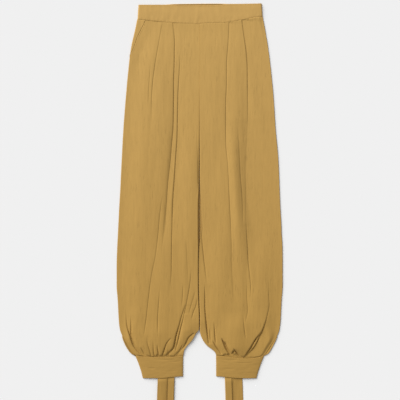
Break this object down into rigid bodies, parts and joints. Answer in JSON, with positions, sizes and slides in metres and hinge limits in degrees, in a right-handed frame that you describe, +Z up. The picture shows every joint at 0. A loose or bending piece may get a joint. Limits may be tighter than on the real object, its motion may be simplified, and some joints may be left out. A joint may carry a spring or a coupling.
{
  "type": "pleated balloon trousers with tied cuffs",
  "caption": "Pleated balloon-leg trousers laid flat on their back, full legs gathered into narrow cuffs with tie tails, for a wardrobe, shop or laundry scene.",
  "frame": {"origin": "on the surface the trousers lie on, under the middle of the box round them", "axes": "+Z up, out of the front of the trousers; +Y towards the waist; +X towards the wearer's left leg"},
  "size_m": [0.464, 1.26, 0.0112],
  "materials": {
    "cloth": "matte crinkled cotton crepe",
    "band_cloth": "matte crinkled cotton crepe, folded double",
    "tie_cloth": "matte crinkled cotton crepe"
  },
  "bodies": {
    "root": {"back_right": "cloth", "back_left": "cloth", "front_right": "cloth", "front_left": "cloth", "pocket_right": "cloth", "waistband_back": "band_cloth", "waistband_front": "band_cloth", "cuff_right": "band_cloth", "cuff_left": "band_cloth", "tie_right_inner": "tie_cloth", "tie_right_outer": "tie_cloth", "tie_left_inner": "tie_cloth", "tie_left_outer": "tie_cloth"}
  },
  "joints": []
}
